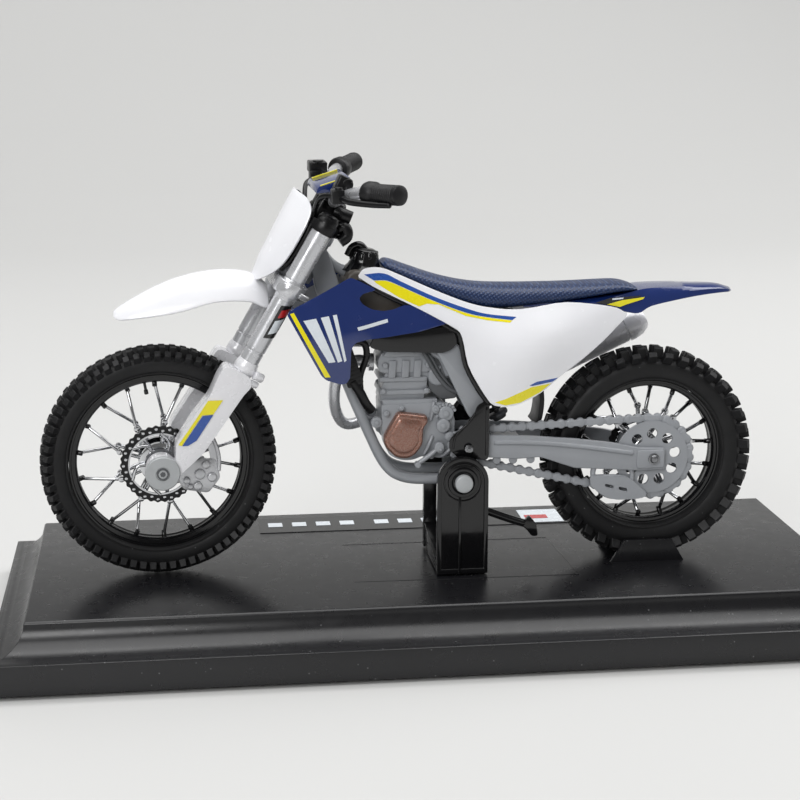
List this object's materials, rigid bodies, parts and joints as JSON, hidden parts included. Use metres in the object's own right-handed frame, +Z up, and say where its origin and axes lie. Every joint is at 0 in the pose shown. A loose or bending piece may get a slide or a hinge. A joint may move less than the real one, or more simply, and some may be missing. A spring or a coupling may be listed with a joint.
{
  "type": "scale model motocross motorcycle on display plinth",
  "caption": "Small-scale motocross motorcycle with turning steering, sprung fork and swingarm, free wheels and kickstand, held by a bracket on a stepped black plinth.",
  "frame": {"origin": "centre of the plinth's footprint, on the plane its feet stand on", "axes": "+X towards the motorcycle's rear wheel, +Y towards its right-hand side, +Z up"},
  "size_m": [0.1472, 0.0648, 0.0794],
  "materials": {
    "satin_black_plastic": "satin moulded plastic",
    "black_plastic": "moulded plastic, slight sheen",
    "black_spring": "black lacquer on wire",
    "dark_grey_plastic": "moulded plastic",
    "white_plastic": "glossy moulded plastic",
    "blue_plastic": "glossy lacquer on plastic",
    "navy_seat_cover": "ribbed soft-touch plastic",
    "grey_engine_paint": "metallic grey lacquer",
    "grey_frame_paint": "metallic silver-grey lacquer",
    "bronze_paint": "metallic bronze lacquer",
    "silver_paint": "bright silver lacquer",
    "steel_pins": "turned and blackened steel",
    "disc_steel": "turned steel with printed band",
    "chrome": "vacuum chrome on plastic",
    "gloss_black_rim": "glossy black plastic",
    "grip_rubber": "soft matt rubber",
    "tyre_rubber": "soft matt rubber"
  },
  "bodies": {
    "chassis": {"plinth": "satin_black_plastic", "stand_bracket": "satin_black_plastic", "stand_peg_left": "steel_pins", "stand_peg_right": "steel_pins", "frame": "grey_frame_paint", "side_plate_left": "black_plastic", "side_plate_right": "black_plastic", "swingarm_pivot_bolt": "steel_pins", "crankcase": "grey_engine_paint", "cylinder": "grey_engine_paint", "ignition_cover": "bronze_paint", "shift_lever": "grey_engine_paint", "radiator_left": "black_plastic", "radiator_right": "black_plastic", "exhaust_header": "silver_paint", "silencer": "silver_paint", "airbox": "black_plastic", "fuel_tank": "dark_grey_plastic", "tank_cap": "black_plastic", "shroud_left": "blue_plastic", "shroud_right": "blue_plastic", "side_panel_left": "white_plastic", "side_panel_right": "white_plastic", "seat": "navy_seat_cover", "rear_fender": "blue_plastic", "mud_flap": "black_plastic"},
    "steering": {"lower_clamp": "silver_paint", "upper_clamp": "black_plastic", "handlebar": "silver_paint", "grip_left": "grip_rubber", "grip_right": "grip_rubber", "clutch_lever": "black_plastic", "brake_lever": "black_plastic", "bar_pad": "blue_plastic", "number_plate": "white_plastic", "front_fender": "white_plastic", "fork_tube_left": "silver_paint", "fork_tube_right": "silver_paint"},
    "fork_lower": {"fork_leg_left": "silver_paint", "fork_leg_right": "silver_paint", "front_axle": "steel_pins", "front_caliper": "silver_paint"},
    "front_wheel": {"front_tyre": "tyre_rubber", "front_rim": "gloss_black_rim", "front_hub": "chrome", "front_brake_disc": "disc_steel"},
    "swingarm": {"swingarm": "grey_frame_paint", "chain": "grey_frame_paint", "rear_sprocket": "grey_frame_paint", "chain_guide": "grey_frame_paint", "rear_axle": "steel_pins"},
    "rear_wheel": {"rear_tyre": "tyre_rubber", "rear_rim": "gloss_black_rim", "rear_hub": "chrome", "rear_brake_disc": "disc_steel"},
    "shock_upper": {"shock_body": "black_plastic"},
    "shock_lower": {"shock_rod": "steel_pins", "shock_spring": "black_spring"},
    "kickstand": {"kickstand": "black_plastic"}
  },
  "joints": [
    {"name": "steering_turn", "type": "hinge", "parent": "chassis", "child": "steering", "pos_m": [-0.02414, -0.00425, 0.0583], "axis": [0.5, 0, 0.866], "range_deg": [-34.5, 25.5]},
    {"name": "fork_travel", "type": "slide", "parent": "steering", "child": "fork_lower", "axis": [0.5, 0, 0.866], "range_m": [0, 0.002], "stiffness_N_per_m": 200, "springref_m": -0.0015},
    {"name": "front_wheel_spin", "type": "hinge", "parent": "fork_lower", "child": "front_wheel", "pos_m": [-0.04656, -0.00468, 0.03044], "axis": [-0.0679, 0.9969, 0.0392], "continuous": true},
    {"name": "swingarm_travel", "type": "hinge", "parent": "chassis", "child": "swingarm", "pos_m": [0.0045, -0.00425, 0.0323], "axis": [0, -1, 0], "range_deg": [0, 6], "stiffness_Nm_per_rad": 0.08, "springref_deg": -5.73},
    {"name": "rear_wheel_spin", "type": "hinge", "parent": "swingarm", "child": "rear_wheel", "pos_m": [0.03649, -0.00425, 0.0293], "axis": [0, 1, 0], "continuous": true},
    {"name": "shock_swing", "type": "hinge", "parent": "chassis", "child": "shock_upper", "pos_m": [0.0069, -0.00425, 0.0441], "axis": [0, -1, 0], "range_deg": [-0.5, 1]},
    {"name": "shock_stroke", "type": "slide", "parent": "shock_upper", "child": "shock_lower", "axis": [-0.4472, 0, 0.8944], "range_m": [0, 0.0009], "deforming": ["shock_spring"]},
    {"name": "kickstand_swing", "type": "hinge", "parent": "chassis", "child": "kickstand", "pos_m": [0.004, -0.00425, 0.0226], "axis": [0, 1, 0], "range_deg": [-20, 30]}
  ],
  "couplings": [
    {"joint": "shock_swing", "follows": "swingarm_travel", "ratio": 0.0783},
    {"joint": "shock_stroke", "follows": "swingarm_travel", "m_per_rad": 0.007424}
  ]
}
